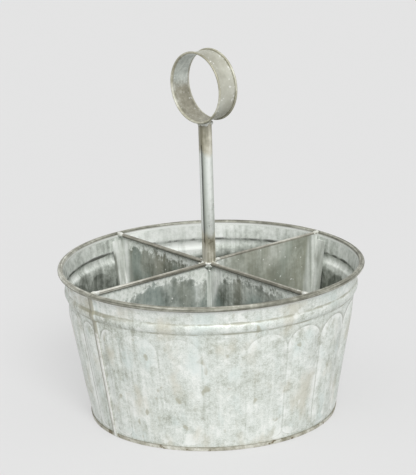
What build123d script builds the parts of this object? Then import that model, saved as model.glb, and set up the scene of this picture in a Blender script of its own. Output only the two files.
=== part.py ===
from build123d import *
import os
from math import asin, atan2, cos, degrees, hypot, radians, sin, sqrt

# A round cutlery caddy in galvanised sheet: a tapered bucket with arch-topped lobes bulged out of its
# side, three divider plates that make four compartments, and a post with a ring handle.
# The pieces are folded, rolled and soldered together, and nothing moves.
# Millimetres and degrees. Z is up, and the origin is the middle of the base, on the table.
# The dividers lie along X and Y, and the ring handle stands in the XZ plane, turned a little about Z.

# Sheet stock, fits and cuts
sheet = 0.6
seat_gap = 0.1
cut_overrun = 6.0

# Bucket wall and its rolled rim
rim_radius = 125.0
bucket_height = 127.5
wall_foot_radius = 101.6
rim_wire_radius = 1.5
rim_curl_end = -112.0

# Bead pressed out of the wall below the rim
bead_drop = 20.3
bead_width = 8.6
bead_rise = 1.7

# Lobes bulged out of the wall below the bead
lobe_count = 19
lobe_pitch = 17.7
lobe_land = 1.4
lobe_rise = 1.8
lobe_foot_rise = 1.1
lobe_drop = 9.0
lobe_arch_height = 14.0
lobe_foot_clear = 1.6
lobe_foot_arch = 6.0
lobe_reach_share = 1.5
lobe_spread_share = 1.06

# Grooved seam that closes the wall, with a narrow lobe at each side of it
seam_angle = -92.5
seam_width = 4.8
seam_rise = 1.1

# Base plate, folded up round the foot of the wall
base_recess = 3.4
lip_height = 3.4

# Dividers
divider_roll_radius = 1.7
divider_roll_end = 292.0
divider_hem = 0.6
flange_width = 9.0
flange_drop = 6.5

# Handle
overall_height = 304.0
post_radius = 5.5
post_wall = 0.8
post_slit_width = 0.9
post_slit_angle = -79.0
post_slit_margin = 20.0
ring_radius = 29.5
ring_turn = 3.4
ring_width = 20.0
ring_bead_radius = 0.9
ring_sheet = 0.5

# Solder
foot_solder_radius = 10.0
foot_solder_height = 6.0
foot_solder_depth = 4.0
foot_solder_waist_share = 0.45
ring_solder_radius = 7.4
ring_solder_height = 4.5
corner_solder_leg = 2.6
solder_hollow_share = 0.4
tack_radius = 3.4
tack_sink = 0.9

os.makedirs("parts", exist_ok=True)


def write(block, name):
    """Names a finished piece and writes its STEP file."""
    block.part.label = name
    export_step(block.part, f"parts/{name}.step")


# The wall's slope: its outer face starts at the foot and is tangent to the inside of the rim's curl.
rim_curl_radius = rim_wire_radius + seat_gap + sheet
rim_bore_radius = rim_curl_radius - sheet
rim_curl_r = rim_radius - rim_curl_radius
rim_curl_z = bucket_height - rim_curl_radius
wall_foot_z = sheet + seat_gap
foot_to_curl = hypot(rim_curl_r - wall_foot_radius, rim_curl_z - wall_foot_z)
slope_to_curl = atan2(rim_curl_r - wall_foot_radius, rim_curl_z - wall_foot_z)
taper = slope_to_curl - asin(rim_bore_radius / foot_to_curl)
wall_top_s = foot_to_curl * cos(slope_to_curl - taper)


def slant(s, n):
    """The point at s up the wall's outer face and n outside it, as a radius and a height."""
    radius = wall_foot_radius + s * sin(taper) + n * cos(taper)
    height = wall_foot_z + s * cos(taper) - n * sin(taper)
    return (radius, height)


def s_at(height, n=0):
    """How far up the wall a height lies, on the face n outside the outer one."""
    return (height - wall_foot_z + n * sin(taper)) / cos(taper)


def on_face(n, height):
    """The point at a height on the face n outside the wall's outer one."""
    return slant(s_at(height, n), n)


# The bead's section is an arc, and each face of the sheet follows it at its own distance.
bead_s = s_at(bucket_height - bead_drop)
bead_radius = ((bead_width / 2) ** 2 + bead_rise**2) / (2 * bead_rise)
bead_centre_n = bead_rise - bead_radius


def draw_face(n, low_s, high_s):
    """Draws the face n outside the wall's outer one, from low_s up over the bead to high_s."""
    half = sqrt((bead_radius + n) ** 2 - (n - bead_centre_n) ** 2)
    Line(slant(low_s, n), slant(bead_s - half, n))
    ThreePointArc(slant(bead_s - half, n), slant(bead_s, bead_rise + n), slant(bead_s + half, n))
    Line(slant(bead_s + half, n), slant(high_s, n))


# The lobes' heights on the wall: the arch's top and spring, and the same at the foot
lobe_apex_s = bead_s - lobe_drop
lobe_spring_s = lobe_apex_s - lobe_arch_height
lobe_foot_s = s_at(lip_height + lobe_foot_clear)
lobe_foot_spring_s = lobe_foot_s + lobe_foot_arch


def lobe_half_width(s, pitch):
    """Half the width of a lobe at s up the wall, with its share of the land between lobes taken off."""
    return (slant(s, 0)[0] * radians(pitch) - lobe_land) / 2


def lobe_back(s, rise, half_width):
    """How far inside the wall the lobe's axis lies, so that its skin meets the wall at its edges."""
    wall_curve = slant(s, 0)[0] / cos(taper)
    return 1 / (2 * rise / half_width**2 + 1 / wall_curve) - rise


def make_lobe(pitch, rise_share, depth):
    """A solid lobe along X, turned about its own axis, with its skin depth inside the sheet's face."""
    top_rise = lobe_rise * rise_share
    foot_rise = lobe_foot_rise * rise_share
    top_half = lobe_half_width(lobe_spring_s, pitch)
    foot_half = lobe_half_width(lobe_foot_spring_s, pitch)
    top_back = lobe_back(lobe_spring_s, top_rise, top_half)
    foot_back = lobe_back(lobe_foot_spring_s, foot_rise, foot_half)
    low = slant(lobe_foot_spring_s, -foot_back)
    high = slant(lobe_spring_s, -top_back)
    lobe_axis = Axis((low[0], 0, low[1]), (high[0] - low[0], 0, high[1] - low[1]))
    spread = degrees(asin(top_half / (top_back + top_rise))) * lobe_spread_share
    top_s = lobe_spring_s + lobe_arch_height * lobe_reach_share
    foot_s = lobe_foot_spring_s - lobe_foot_arch * lobe_reach_share
    end_share = 1 - lobe_reach_share**2
    with BuildPart() as lobe:
        with BuildSketch(Plane.XZ):
            with BuildLine():
                top_end = slant(top_s, top_rise * end_share - depth)
                top_spring = slant(lobe_spring_s, top_rise - depth)
                foot_spring = slant(lobe_foot_spring_s, foot_rise - depth)
                foot_end = slant(foot_s, foot_rise * end_share - depth)
                ThreePointArc(top_end, slant(lobe_apex_s, -depth), top_spring)
                Line(top_spring, foot_spring)
                ThreePointArc(foot_spring, slant(lobe_foot_s, -depth), foot_end)
                Polyline(foot_end, slant(foot_s, -cut_overrun), slant(top_s, -cut_overrun), top_end)
            make_face()
        revolve(axis=lobe_axis, revolution_arc=2 * spread)
    return lobe.part.rotate(lobe_axis, -spread)


# The seam's zone is what the whole lobes leave over, with half of it at each side of the seam.
seam_zone = (360 - lobe_count * lobe_pitch) / 2
seam_half = degrees(seam_width / 2 / slant(lobe_spring_s, 0)[0])
seam_lobe_pitch = seam_zone - seam_half
seam_lobe_turn = seam_half + seam_lobe_pitch / 2


def make_lobed(depth, low_s, high_s):
    """The wall's inside filled solid out to the face depth inside its outer one, lobes included."""
    lobe = make_lobe(lobe_pitch, 1, depth)
    seam_lobe = make_lobe(seam_lobe_pitch, seam_lobe_pitch / lobe_pitch, depth)
    low = slant(low_s, -depth - sheet)
    high = slant(high_s, -depth - sheet)
    with BuildPart() as lobed:
        with BuildSketch(Plane.XZ):
            with BuildLine():
                draw_face(-depth, low_s, high_s)
                Polyline(slant(high_s, -depth), high, (0, high[1]), (0, low[1]), low, slant(low_s, -depth))
            make_face()
        revolve(axis=Axis.Z)
        first_turn = seam_angle + seam_zone + lobe_pitch / 2
        with PolarLocations(0, lobe_count, first_turn, lobe_count * lobe_pitch):
            add(lobe)
        with PolarLocations(0, 2, seam_angle - seam_lobe_turn, 4 * seam_lobe_turn):
            add(seam_lobe)
    return lobed.part


wall_skin = make_lobed(0, 0, wall_top_s)
wall_hollow = make_lobed(sheet, -cut_overrun, wall_top_s + cut_overrun)

with BuildPart() as bucket_wall:
    add(wall_skin)
    add(wall_hollow, mode=Mode.SUBTRACT)
    # The rim: the sheet's edge curled outwards round the wire
    with BuildSketch(Plane.XZ):
        with BuildLine():
            curl_start = 180 - degrees(taper)
            curl_turn = rim_curl_end - curl_start
            outer = CenterArc((rim_curl_r, rim_curl_z), rim_curl_radius, curl_start, curl_turn)
            inner = CenterArc((rim_curl_r, rim_curl_z), rim_bore_radius, curl_start, curl_turn)
            Line(outer @ 0, inner @ 0)
            Line(outer @ 1, inner @ 1)
        make_face()
    revolve(axis=Axis.Z)
    # The grooved seam: a raised fold of the sheet from the base's lip up to the rim
    with BuildSketch(Plane.XZ.rotated((0, 0, seam_angle - seam_half))):
        with BuildLine():
            seam_low_s = s_at(lip_height + seat_gap)
            seam_high_s = s_at(bucket_height - 2 * rim_curl_radius)
            draw_face(seam_rise, seam_low_s, seam_high_s)
            draw_face(-sheet / 2, seam_low_s, seam_high_s)
            Line(slant(seam_low_s, -sheet / 2), slant(seam_low_s, seam_rise))
            Line(slant(seam_high_s, -sheet / 2), slant(seam_high_s, seam_rise))
        make_face()
    revolve(axis=Axis.Z, revolution_arc=2 * seam_half)
write(bucket_wall, "bucket_wall")

with BuildPart() as rim_wire:
    with BuildSketch(Plane.XZ):
        with Locations((rim_curl_r, rim_curl_z)):
            Circle(rim_wire_radius)
    revolve(axis=Axis.Z)
write(rim_wire, "rim_wire")

# The base plate stands on its fold: a raised floor, a skirt down inside the wall, and a lip up outside it.
floor_z = base_recess + sheet
skirt_n = -sheet - seat_gap
with BuildPart() as base_plate:
    with BuildSketch(Plane.XZ) as base_section:
        with BuildLine():
            Polyline(
                (0, base_recess),
                (0, floor_z),
                on_face(skirt_n, floor_z),
                on_face(skirt_n, sheet),
                on_face(seat_gap, sheet),
                on_face(seat_gap, lip_height),
                on_face(seat_gap + sheet, lip_height),
                on_face(seat_gap + sheet, 0),
                on_face(skirt_n - sheet, 0),
                on_face(skirt_n - sheet, base_recess),
                (0, base_recess),
            )
        make_face()
        fold_corner = base_section.vertices().group_by(Axis.Y)[0].sort_by(Axis.X)[-1]
        fillet(fold_corner, radius=sheet)
    revolve(axis=Axis.Z)
write(base_plate, "base_plate")

# The dividers' common heights: they stand on the floor, and their rolled tops are level with the rim.
divider_foot_z = floor_z + seat_gap
roll_z = bucket_height - divider_roll_radius
roll_offset = divider_roll_radius - sheet / 2
notch_z = bucket_height - 2 * divider_roll_radius - divider_hem
notch_half = post_radius + seat_gap
flange_n = -sheet - seat_gap
plate_end_n = flange_n - sheet / 2
half_divider_start = sheet / 2 + seat_gap
centre_flange_top = notch_z - foot_solder_depth - seat_gap
flange_turn = degrees(flange_width / wall_foot_radius)
fold_turn = degrees(sheet / 2 / wall_foot_radius)
quarter_turn = 90


def divider_section(plane):
    """A divider's section on a plane: a plate whose top edge is rolled over to the plane's left."""
    with BuildSketch(plane) as section:
        with BuildLine():
            outer = CenterArc((-roll_offset, roll_z), divider_roll_radius, 0, divider_roll_end)
            inner = CenterArc((-roll_offset, roll_z), divider_roll_radius - sheet, 0, divider_roll_end)
            Line(outer @ 1, inner @ 1)
            Polyline(outer @ 0, (sheet / 2, divider_foot_z), (-sheet / 2, divider_foot_z), inner @ 0)
        make_face()
    return section.sketch


# The room that trims the plates' ends, half way through the sheet of their flanges
with BuildPart() as plate_room:
    with BuildSketch(Plane.XZ.rotated((0, 0, quarter_turn / 2))):
        with BuildLine():
            room_low = on_face(plate_end_n, divider_foot_z - seat_gap)
            room_high = on_face(plate_end_n, bucket_height + cut_overrun)
            Polyline((0, room_low[1]), room_low, room_high, (0, room_high[1]), (0, room_low[1]))
        make_face()
    revolve(axis=Axis.Z)


def make_wall_flange(way):
    """A divider's end flange at the wall in +X, bent towards +Y or -Y as way is 1 or -1."""
    flange_top = bucket_height - flange_drop
    with BuildPart() as flange:
        with BuildSketch(Plane.XZ.rotated((0, 0, -way * fold_turn))):
            with BuildLine():
                Polyline(
                    on_face(flange_n, divider_foot_z),
                    on_face(flange_n, flange_top),
                    on_face(flange_n - sheet, flange_top),
                    on_face(flange_n - sheet, divider_foot_z),
                    close=True,
                )
            make_face()
        revolve(axis=Axis.Z, revolution_arc=way * (fold_turn + flange_turn))
    return flange.part


with BuildPart() as long_divider:
    extrude(divider_section(Plane.right), amount=rim_radius, both=True)
    add(plate_room.part, mode=Mode.INTERSECT)
    # The notch in the rolled edge that the post stands in
    with BuildSketch(Plane.XY.offset(notch_z)):
        Rectangle(2 * notch_half, 2 * notch_half)
    extrude(amount=bucket_height, mode=Mode.SUBTRACT)
    with PolarLocations(0, 2):
        add(make_wall_flange(1))
write(long_divider, "long_divider")


# The cross divider is two like halves, each turned half way round from the other.
with BuildPart() as front_half_divider:
    extrude(divider_section(Plane.back.offset(-half_divider_start)), amount=-rim_radius)
    add(plate_room.part, mode=Mode.INTERSECT)
    with BuildSketch(Plane.XY.offset(notch_z)):
        Rectangle(2 * notch_half, 2 * notch_half)
    extrude(amount=bucket_height, mode=Mode.SUBTRACT)
    add(make_wall_flange(-1), rotation=(0, 0, -quarter_turn))
    # The flange that lies against the long divider
    with BuildSketch(Plane.XY.offset(divider_foot_z)):
        with Locations((flange_width / 2, -half_divider_start - sheet / 2)):
            Rectangle(flange_width, sheet)
    extrude(amount=centre_flange_top - divider_foot_z)
write(front_half_divider, "front_half_divider")

with BuildPart() as back_half_divider:
    add(front_half_divider.part, rotation=(0, 0, 2 * quarter_turn))
write(back_half_divider, "back_half_divider")

# The handle: a tube rolled from sheet, with an open slit between its soldered ends, saddled to the ring,
# which was soldered on a little out of line with the dividers
ring_bore_radius = ring_radius - 2 * ring_bead_radius
ring_skin_radius = ring_bore_radius + ring_sheet
ring_z = overall_height - ring_radius
ring_face = Plane.XZ.rotated((0, 0, ring_turn))
ring_section = Plane.YZ.rotated((0, 0, ring_turn))
ring_axis = Axis((0, 0, ring_z), ring_face.z_dir)
ring_low_z = ring_z - ring_skin_radius
post_foot_z = notch_z + seat_gap
slit_low_z = post_foot_z + post_slit_margin
slit_high_z = ring_low_z - post_slit_margin

with BuildPart() as handle_post:
    with BuildSketch(Plane.XY.offset(post_foot_z)):
        Circle(post_radius)
        Circle(post_radius - post_wall, mode=Mode.SUBTRACT)
    extrude(amount=ring_z - post_foot_z)
    with BuildSketch(ring_face):
        with Locations((0, ring_z)):
            Circle(ring_skin_radius + seat_gap)
    extrude(amount=ring_width, both=True, mode=Mode.SUBTRACT)
    with BuildSketch(Plane.XY.offset(slit_low_z)):
        with PolarLocations(post_radius, 1, post_slit_angle):
            Rectangle(4 * post_wall, post_slit_width)
    extrude(amount=slit_high_z - slit_low_z, mode=Mode.SUBTRACT)
write(handle_post, "handle_post")

with BuildPart() as handle_ring:
    with BuildSketch(ring_section):
        with Locations((0, ring_z + ring_bore_radius + ring_sheet / 2)):
            Rectangle(ring_width - 2 * ring_bead_radius, ring_sheet)
        with GridLocations(ring_width - 2 * ring_bead_radius, 0, 2, 1):
            with Locations((0, ring_z + ring_bore_radius + ring_bead_radius)):
                Circle(ring_bead_radius)
    revolve(axis=ring_axis)
write(handle_ring, "handle_ring")

# The room that the dividers' plates and rolls take up, which the solder keeps clear of
with BuildPart() as divider_room:
    for section_plane, both_ways in ((Plane.right, True), (Plane.back, False), (Plane.front, False)):
        with BuildSketch(section_plane):
            with Locations((-roll_offset, roll_z)):
                Circle(divider_roll_radius + seat_gap)
            with Locations((0, roll_z / 2)):
                Rectangle(sheet + 2 * seat_gap, roll_z)
        extrude(amount=-rim_radius, both=both_ways)

with BuildPart() as post_foot_solder:
    with BuildSketch(Plane.XZ):
        with BuildLine():
            solder_low_z = notch_z - foot_solder_depth
            solder_high_z = bucket_height + foot_solder_height
            waist = post_radius + (foot_solder_radius - post_radius) * foot_solder_waist_share
            waist_z = bucket_height + foot_solder_height * foot_solder_waist_share / 2
            tip = notch_half + seat_gap
            Polyline((0, solder_low_z), (post_radius, solder_low_z), (foot_solder_radius, roll_z))
            ThreePointArc((foot_solder_radius, roll_z), (waist, waist_z), (tip, solder_high_z))
            Polyline((tip, solder_high_z), (0, solder_high_z), (0, solder_low_z))
        make_face()
    revolve(axis=Axis.Z)
    with BuildSketch(Plane.XY.offset(notch_z)):
        Circle(notch_half)
    extrude(amount=bucket_height, mode=Mode.SUBTRACT)
    add(divider_room.part, mode=Mode.SUBTRACT)
write(post_foot_solder, "post_foot_solder")

with BuildPart() as ring_solder:
    with BuildSketch(Plane.XZ):
        with BuildLine():
            inner_tip = (notch_half, ring_low_z - ring_solder_height)
            outer_tip = (ring_solder_radius, ring_low_z)
            hollow = (
                notch_half + (ring_solder_radius - notch_half) * solder_hollow_share,
                ring_low_z - ring_solder_height * solder_hollow_share,
            )
            ThreePointArc(inner_tip, hollow, outer_tip)
            Polyline(outer_tip, (ring_solder_radius, ring_z), (notch_half, ring_z), inner_tip)
        make_face()
    revolve(axis=Axis.Z)
    with BuildSketch(ring_face):
        with Locations((0, ring_z)):
            Circle(ring_skin_radius + seat_gap)
    extrude(amount=ring_width, both=True, mode=Mode.SUBTRACT)
write(ring_solder, "ring_solder")

# A tack at each end of the rolled edges: half a ball on the wall's face, over the roll's end
tack_z = roll_z - tack_sink
tack_r = on_face(flange_n - seat_gap, tack_z)[0]
tack_seat = Plane((tack_r, -roll_offset, tack_z), x_dir=(0, 1, 0), z_dir=(-cos(taper), 0, sin(taper)))
with BuildPart() as tack:
    with Locations(tack_seat):
        Sphere(tack_radius, arc_size1=0, align=(Align.CENTER, Align.CENTER, Align.MIN))

with BuildPart() as rim_tack_solder:
    add(tack.part)
    add(tack.part.mirror(Plane.YZ))
    cross_tack = tack.part.mirror(Plane.XZ)
    for turn in (-quarter_turn, quarter_turn):
        add(cross_tack.rotate(Axis.Z, turn))
    add(divider_room.part, mode=Mode.SUBTRACT)
write(rim_tack_solder, "rim_tack_solder")

with BuildPart() as corner_solder:
    with BuildSketch(Plane.XY.offset(divider_foot_z)):
        plain_corner = (half_divider_start, half_divider_start)
        flanged_corner = (-half_divider_start, half_divider_start + sheet + seat_gap)
        for corner, way in ((plain_corner, 1), (flanged_corner, -1)):
            with BuildLine():
                along = (corner[0] + way * corner_solder_leg, corner[1])
                across = (corner[0], corner[1] + corner_solder_leg)
                hollow = (
                    corner[0] + way * corner_solder_leg * solder_hollow_share,
                    corner[1] + corner_solder_leg * solder_hollow_share,
                )
                ThreePointArc(along, hollow, across)
                Polyline(across, corner, along)
            make_face()
    extrude(amount=centre_flange_top - divider_foot_z)
    with PolarLocations(0, 2, 180, 360):
        add(corner_solder.part)
write(corner_solder, "corner_solder")
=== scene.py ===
import random
from math import asin, atan2, cos, hypot, pi, radians, sin, sqrt, tau

import bpy
from mathutils import Matrix, Vector


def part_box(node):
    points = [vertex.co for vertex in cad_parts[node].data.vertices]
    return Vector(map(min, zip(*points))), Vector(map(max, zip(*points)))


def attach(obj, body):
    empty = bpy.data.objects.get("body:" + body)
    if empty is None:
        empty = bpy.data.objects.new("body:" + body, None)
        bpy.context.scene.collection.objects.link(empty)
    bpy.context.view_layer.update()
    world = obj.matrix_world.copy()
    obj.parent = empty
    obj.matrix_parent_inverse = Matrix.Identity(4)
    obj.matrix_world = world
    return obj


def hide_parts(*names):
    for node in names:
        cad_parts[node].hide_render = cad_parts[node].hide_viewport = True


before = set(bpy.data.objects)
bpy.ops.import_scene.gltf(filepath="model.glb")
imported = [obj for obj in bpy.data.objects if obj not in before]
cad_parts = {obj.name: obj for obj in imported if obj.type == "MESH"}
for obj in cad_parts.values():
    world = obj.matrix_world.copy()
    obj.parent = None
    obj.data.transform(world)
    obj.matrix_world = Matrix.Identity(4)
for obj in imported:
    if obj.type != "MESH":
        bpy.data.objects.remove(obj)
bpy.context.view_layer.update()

# Bucket wall: one strip of galvanised sheet rolled to a cone, closed by a grooved seam at the front left.
# A bead and a row of arch-topped lobes are pressed out of it, and its top edge is curled out over a wire.
mm = 0.001
wall_low, wall_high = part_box("bucket_wall")
sheet = 0.6 * mm
rim_radius = wall_high.x
bucket_height = wall_high.z
wall_foot_z = wall_low.z
wall_foot_radius = 101.6 * mm
curl_radius = 2.2 * mm
curl_end = radians(-112)
bead_drop = 20.3 * mm
bead_width = 8.6 * mm
bead_rise = 1.7 * mm
lobe_count = 19
lobe_pitch = radians(17.7)
lobe_land = 1.4 * mm
lobe_drop = 9.0 * mm
lobe_arch_height = 14.0 * mm
lobe_foot_height = 5.0 * mm
lobe_foot_arch = 6.0 * mm
seam_angle = radians(-90.5)
seam_width = 4.8 * mm
seam_step = 0.5 * mm
bulge = 2.4 * mm

curl_r = rim_radius - curl_radius
curl_z = bucket_height - curl_radius
foot_to_curl = hypot(curl_r - wall_foot_radius, curl_z - wall_foot_z)
slope_to_curl = atan2(curl_r - wall_foot_radius, curl_z - wall_foot_z)
taper = slope_to_curl - asin((curl_radius - sheet) / foot_to_curl)
wall_top_s = foot_to_curl * cos(slope_to_curl - taper)


def slant(s, n):
    """The point at s up the wall's outer face and n outside it, as a radius and a height."""
    radius = wall_foot_radius + s * sin(taper) + n * cos(taper)
    height = wall_foot_z + s * cos(taper) - n * sin(taper)
    return radius, height


def s_at(height):
    """How far up the wall's outer face a height lies."""
    return (height - wall_foot_z) / cos(taper)


def spaced(start, end, count):
    """Even steps from start to just before end."""
    return [start + (end - start) * step / count for step in range(count)]


bead_s = s_at(bucket_height - bead_drop)
bead_radius = ((bead_width / 2) ** 2 + bead_rise**2) / (2 * bead_rise)
bead_centre_n = bead_rise - bead_radius
lobe_apex_s = bead_s - lobe_drop
lobe_spring_s = lobe_apex_s - lobe_arch_height
lobe_foot_s = s_at(lobe_foot_height)
lobe_foot_spring_s = lobe_foot_s + lobe_foot_arch
foot_steps = 3
foot_arch_steps = 7
side_steps = 15
arch_steps = 16
gap_steps = 4
bead_steps = 12
top_steps = 6
curl_steps = 22


def wall_face(n, inner):
    """Rows up one face of the sheet, each a radius, a height, its place up the wall and its side."""
    turn = asin(sqrt((bead_radius + n) ** 2 - (n - bead_centre_n) ** 2) / (bead_radius + n))
    bead_half = (bead_radius + n) * sin(turn)
    places = spaced(0, lobe_foot_s, foot_steps)
    places += spaced(lobe_foot_s, lobe_foot_spring_s, foot_arch_steps)
    places += spaced(lobe_foot_spring_s, lobe_spring_s, side_steps)
    places += spaced(lobe_spring_s, lobe_apex_s, arch_steps)
    places += spaced(lobe_apex_s, bead_s - bead_half, gap_steps)
    rows = [(*slant(s, n), s, inner) for s in places]
    for angle in spaced(-turn, turn, bead_steps):
        s = bead_s + (bead_radius + n) * sin(angle)
        rise = bead_centre_n + (bead_radius + n) * cos(angle)
        rows.append((*slant(s, rise), s, inner))
    rows += [(*slant(s, n), s, inner) for s in spaced(bead_s + bead_half, wall_top_s, top_steps)]
    return rows


def curl_face(radius, inner):
    """Rows round one face of the curl, from the top of the wall to the curl's edge."""
    curl_start = pi - taper
    rows = []
    for angle in spaced(curl_start, curl_end, curl_steps) + [curl_end]:
        s = wall_top_s + curl_radius * (curl_start - angle)
        rows.append((curl_r + radius * cos(angle), curl_z + radius * sin(angle), s, inner))
    return rows


def bulge_at(turn, s):
    """How far the wall has spread in the right-hand quarter, between the dividers: most at the rim."""
    if cos(turn) <= 0 or sin(turn) <= 0:
        return 0.0
    return bulge * sin(2 * turn) ** 2 * (s / wall_top_s) ** 2


# The sheet's section runs up the inside, over the curl and back under it, and down the outside.
wall_rows = wall_face(-sheet, 1.0) + curl_face(curl_radius, 0.0)
wall_rows += curl_face(curl_radius - sheet, 0.0)[::-1] + wall_face(0, 0.0)[::-1]

# Columns round the wall, counted from the seam: its fold, a narrow lobe each side of it, and the whole lobes
mid_radius = slant(lobe_spring_s, 0)[0]
seam_half = seam_width / 2 / mid_radius
seam_top = 1 - seam_step / seam_width * 2
seam_zone = (tau - lobe_count * lobe_pitch) / 2
seam_lobe_pitch = seam_zone - seam_half
seam_lobe_turn = seam_half + seam_lobe_pitch / 2
seam_lobe_steps = 14
lobe_steps = 24
wall_columns = []
for offset, lift in ((-1, 0.0), (-seam_top, 1.0), (seam_top, 1.0), (1, 0.0)):
    wall_columns.append((seam_angle + offset * seam_half, pi, lobe_pitch, lift))
lobe_turns = [(seam_lobe_turn, seam_lobe_pitch, seam_lobe_steps)]
lobe_turns += [(seam_zone + (lobe + 0.5) * lobe_pitch, lobe_pitch, lobe_steps) for lobe in range(lobe_count)]
lobe_turns += [(tau - seam_lobe_turn, seam_lobe_pitch, seam_lobe_steps)]
for centre, pitch, steps in lobe_turns:
    edge = (pitch - lobe_land / mid_radius) / 2
    for turn in spaced(-edge, edge, steps) + [edge]:
        wall_columns.append((seam_angle + centre + turn, turn, pitch, 0.0))


def lathe(name, rows, columns, row_marks=(), column_marks=()):
    """A ring turned from a closed section, with marks on its points and the flat sheet as its UV map."""
    points = []
    for turn, *_ in columns:
        for radius, height, s, *_ in rows:
            reach = radius + bulge_at(turn, s)
            points.append((reach * cos(turn), reach * sin(turn), height))
    high = len(rows)
    wide = len(columns)
    faces = []
    flat = []
    for column in range(wide):
        after = (column + 1) % wide
        near = column * high
        far = after * high
        left = columns[column][0] * mid_radius
        right = (columns[after][0] + (tau if after == 0 else 0)) * mid_radius
        for row in range(high):
            above = (row + 1) % high
            faces.append((near + row, near + above, far + above, far + row))
            low_v = rows[row][2]
            high_v = rows[above][2]
            flat += [left, low_v, left, high_v, right, high_v, right, low_v]
    mesh = bpy.data.meshes.new(name)
    mesh.from_pydata(points, [], faces)
    mesh.uv_layers.new(name="sheet").data.foreach_set("uv", flat)
    for place, mark in enumerate(row_marks, 2):
        values = [row[place] for row in rows] * wide
        mesh.attributes.new(mark, "FLOAT", "POINT").data.foreach_set("value", values)
    for place, mark in enumerate(column_marks, 1):
        values = [column[place] for column in columns for row in rows]
        mesh.attributes.new(mark, "FLOAT", "POINT").data.foreach_set("value", values)
    mesh.shade_smooth()
    return mesh


def ink(code):
    """The linear colour of an sRGB hex value."""
    parts = [int(code[start:start + 2], 16) / 255 for start in (0, 2, 4)]
    return (*[part / 12.92 if part <= 0.04045 else ((part + 0.055) / 1.055) ** 2.4 for part in parts], 1.0)


def add_node(tree, kind, feeds=None, out=0, stops=None, **settings):
    """Adds a node, sets it, feeds its sockets with values or other sockets, and gives one of its outputs."""
    made = tree.nodes.new(kind)
    for name, value in settings.items():
        setattr(made, name, value)
    for socket, value in (feeds or {}).items():
        if isinstance(value, bpy.types.NodeSocket):
            tree.links.new(value, made.inputs[socket])
        else:
            made.inputs[socket].default_value = value
    if stops:
        ramp = made.color_ramp.elements
        while len(ramp) < len(stops):
            ramp.new(1.0)
        for element, (position, shade) in zip(ramp, stops):
            element.position = position
            element.color = ink(shade) if isinstance(shade, str) else shade
    return made.outputs[out] if made.outputs else made


def per(size):
    """The texture scale whose features are about that size."""
    return 1 / size


def summed(tree, *parts):
    """The sum of several signals, each alone or with its weight."""
    total = 0.0
    for part in parts:
        signal, weight = part if isinstance(part, tuple) else (part, 1.0)
        total = add_node(tree, "ShaderNodeMath", {0: signal, 1: weight, 2: total}, operation="MULTIPLY_ADD")
    return total


def product(tree, first, *others):
    """Several signals multiplied together."""
    total = first
    for signal in others:
        total = add_node(tree, "ShaderNodeMath", {0: total, 1: signal}, operation="MULTIPLY")
    return total


def off(tree, signal, middle):
    """How far a signal lies from a value, on either side of it."""
    apart = add_node(tree, "ShaderNodeMath", {0: signal, 1: middle}, operation="SUBTRACT")
    return add_node(tree, "ShaderNodeMath", {0: apart}, operation="ABSOLUTE")


def layered(tree, below, above, signal, start, end, strength=1.0):
    """Lays a colour, given as a hex value or a socket, over another where a signal goes from start to end."""
    share = add_node(
        tree,
        "ShaderNodeMapRange",
        {0: signal, 1: start, 2: end, 3: 0.0, 4: strength},
        interpolation_type="SMOOTHSTEP",
    )
    cover = ink(above) if isinstance(above, str) else above
    return add_node(tree, "ShaderNodeMix", {0: share, 6: below, 7: cover}, out=2, data_type="RGBA")


def zinc_marks(tree, place, run_scale):
    """What dulled zinc shows: clouds, mottle, fine mottle and grain, and runs down the sheet."""
    run_place = add_node(tree, "ShaderNodeMapping", {"Vector": place, "Scale": run_scale})
    marks = []
    for at, size, detail in (
        (place, 42 * mm, 2.0),
        (place, 11 * mm, 5.0),
        (place, 3.2 * mm, 4.0),
        (place, 1.1 * mm, 2.0),
        (run_place, 4.5 * mm, 4.0),
    ):
        feeds = {"Vector": at, "Scale": per(size), "Detail": detail, "Roughness": 0.62}
        marks.append(add_node(tree, "ShaderNodeTexNoise", feeds))
    return marks


def new_material(name):
    """A material with its node tree and its shader."""
    material = bpy.data.materials.new(name)
    material.use_nodes = True
    return material, material.node_tree, material.node_tree.nodes["Principled BSDF"]


def close_skin(tree, shader, colour, marks, metallic, polish, dulled=0.0):
    """Gives the shader its colour, its uneven polish, less of it where dulled, and its fine relief."""
    _, mottle, fine, grain, _ = marks
    tree.links.new(colour, shader.inputs["Base Color"])
    shader.inputs["Metallic"].default_value = metallic
    smooth, coarse = polish
    rough = add_node(tree, "ShaderNodeMapRange", {0: mottle, 1: 0.3, 2: 0.7, 3: smooth, 4: coarse})
    rough = summed(tree, rough, (dulled, 0.3))
    tree.links.new(rough, shader.inputs["Roughness"])
    relief = summed(tree, (mottle, 0.6), (fine, 0.5), (grain, 0.4))
    bump = add_node(tree, "ShaderNodeBump", {"Height": relief, "Strength": 0.4, "Distance": 0.3 * mm})
    tree.links.new(bump, shader.inputs["Normal"])


# Weathered galvanised sheet: hot-dip zinc whose spangle has dulled to a chalky grey skin. It gives the eye
# soft clouds, a fine mottle, run marks down the sheet and white bloom, with dirt left in the folds.
wall_zinc, tree, shader = new_material("weathered_galvanised_wall")
flat_place = add_node(tree, "ShaderNodeUVMap", uv_map="sheet")
inner, crown, pressed, up_wall = [
    add_node(tree, "ShaderNodeAttribute", out="Fac", attribute_name=mark)
    for mark in ("inner", "crown", "pressed", "up_wall")
]
inner_shift = add_node(tree, "ShaderNodeCombineXYZ", {"Z": inner})
place = add_node(tree, "ShaderNodeVectorMath", {0: flat_place, 1: inner_shift}, operation="ADD")
marks = zinc_marks(tree, place, (1.0, 0.07, 1.0))
clouds, mottle, fine, grain, runs = marks

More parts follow.
